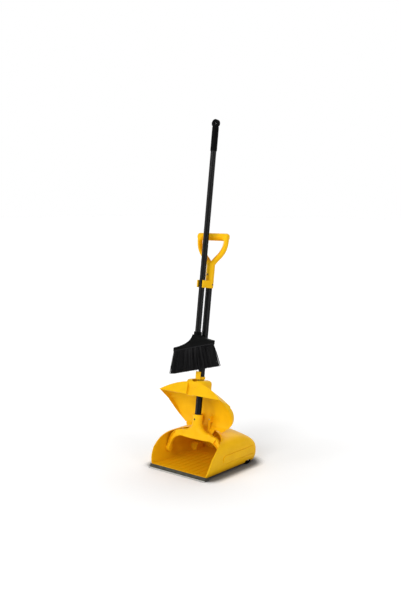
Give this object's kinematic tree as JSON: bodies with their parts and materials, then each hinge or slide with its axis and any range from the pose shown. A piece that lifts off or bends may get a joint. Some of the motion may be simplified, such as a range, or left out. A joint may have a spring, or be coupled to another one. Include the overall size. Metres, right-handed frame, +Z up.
{
  "type": "lobby dustpan",
  "caption": "Upright lobby dustpan with a hinged windproof lid worked by its swinging handle, rear wheels, a D-shaped grip and an angled broom held in a clip.",
  "frame": {"origin": "on the ground under the middle of the whole object's box", "axes": "+Z up along the handle, the mouth faces -Y, +X to the right seen from the mouth side"},
  "size_m": [0.3, 0.33, 1.3242],
  "materials": {
    "yellow_plastic": "moulded yellow polypropylene, semi-gloss with a fine grain",
    "black_plastic": "moulded black plastic, satin",
    "black_tube": "thin steel tube with a smooth black plastic coat",
    "grey_rubber": "dark grey soft rubber",
    "pale_plastic": "pale flexible wiping edge",
    "steel": "zinc-plated steel",
    "dark_steel": "blackened screw",
    "bristle": "black synthetic bristles"
  },
  "bodies": {
    "pan": {"pan_shell": "yellow_plastic", "lip_strip": "grey_rubber", "lip_blade": "pale_plastic", "axle_pins": "steel", "pivot_studs": "yellow_plastic", "hinge_bracket": "yellow_plastic", "bracket_rivets": "steel", "lid_hinge_pin": "steel"},
    "wheel_left": {"wheel_left": "black_plastic"},
    "wheel_right": {"wheel_right": "black_plastic"},
    "lid": {"lid_shell": "yellow_plastic", "lid_hinge_arms": "yellow_plastic", "arm_rivets": "steel"},
    "handle": {"yoke": "yellow_plastic", "pivot_bushes": "black_plastic", "handle_tube": "black_tube", "yoke_screw": "dark_steel", "grip": "yellow_plastic", "grip_screw": "dark_steel", "broom_clip": "yellow_plastic", "clip_screw": "dark_steel", "tube_tab": "yellow_plastic", "tab_rivet": "steel"},
    "broom": {"broom_tube": "black_tube", "broom_cap": "black_plastic", "cap_pin": "black_plastic", "broom_head": "black_plastic", "head_ferrule": "steel", "bristles": "bristle"}
  },
  "joints": [
    {"name": "handle_swing", "type": "hinge", "parent": "pan", "child": "handle", "pos_m": [0, -0.057, 0.052], "axis": [1, 0, 0], "range_deg": [0, 86.5]},
    {"name": "lid_swing", "type": "hinge", "parent": "pan", "child": "lid", "pos_m": [0, 0, 0.124], "axis": [1, 0, 0], "range_deg": [0, 96.6]},
    {"name": "wheel_left_spin", "type": "hinge", "parent": "pan", "child": "wheel_left", "pos_m": [-0.12495, 0.107, 0.017], "axis": [1, 0, 0], "continuous": true},
    {"name": "wheel_right_spin", "type": "hinge", "parent": "pan", "child": "wheel_right", "pos_m": [0.12495, 0.107, 0.017], "axis": [1, 0, 0], "continuous": true},
    {"name": "broom_pull", "type": "slide", "parent": "handle", "child": "broom", "axis": [0, -0.9907, 0.1357], "range_m": [0, 0.12]}
  ],
  "couplings": [
    {"joint": "lid_swing", "follows": "handle_swing", "ratio": 1.1156}
  ]
}
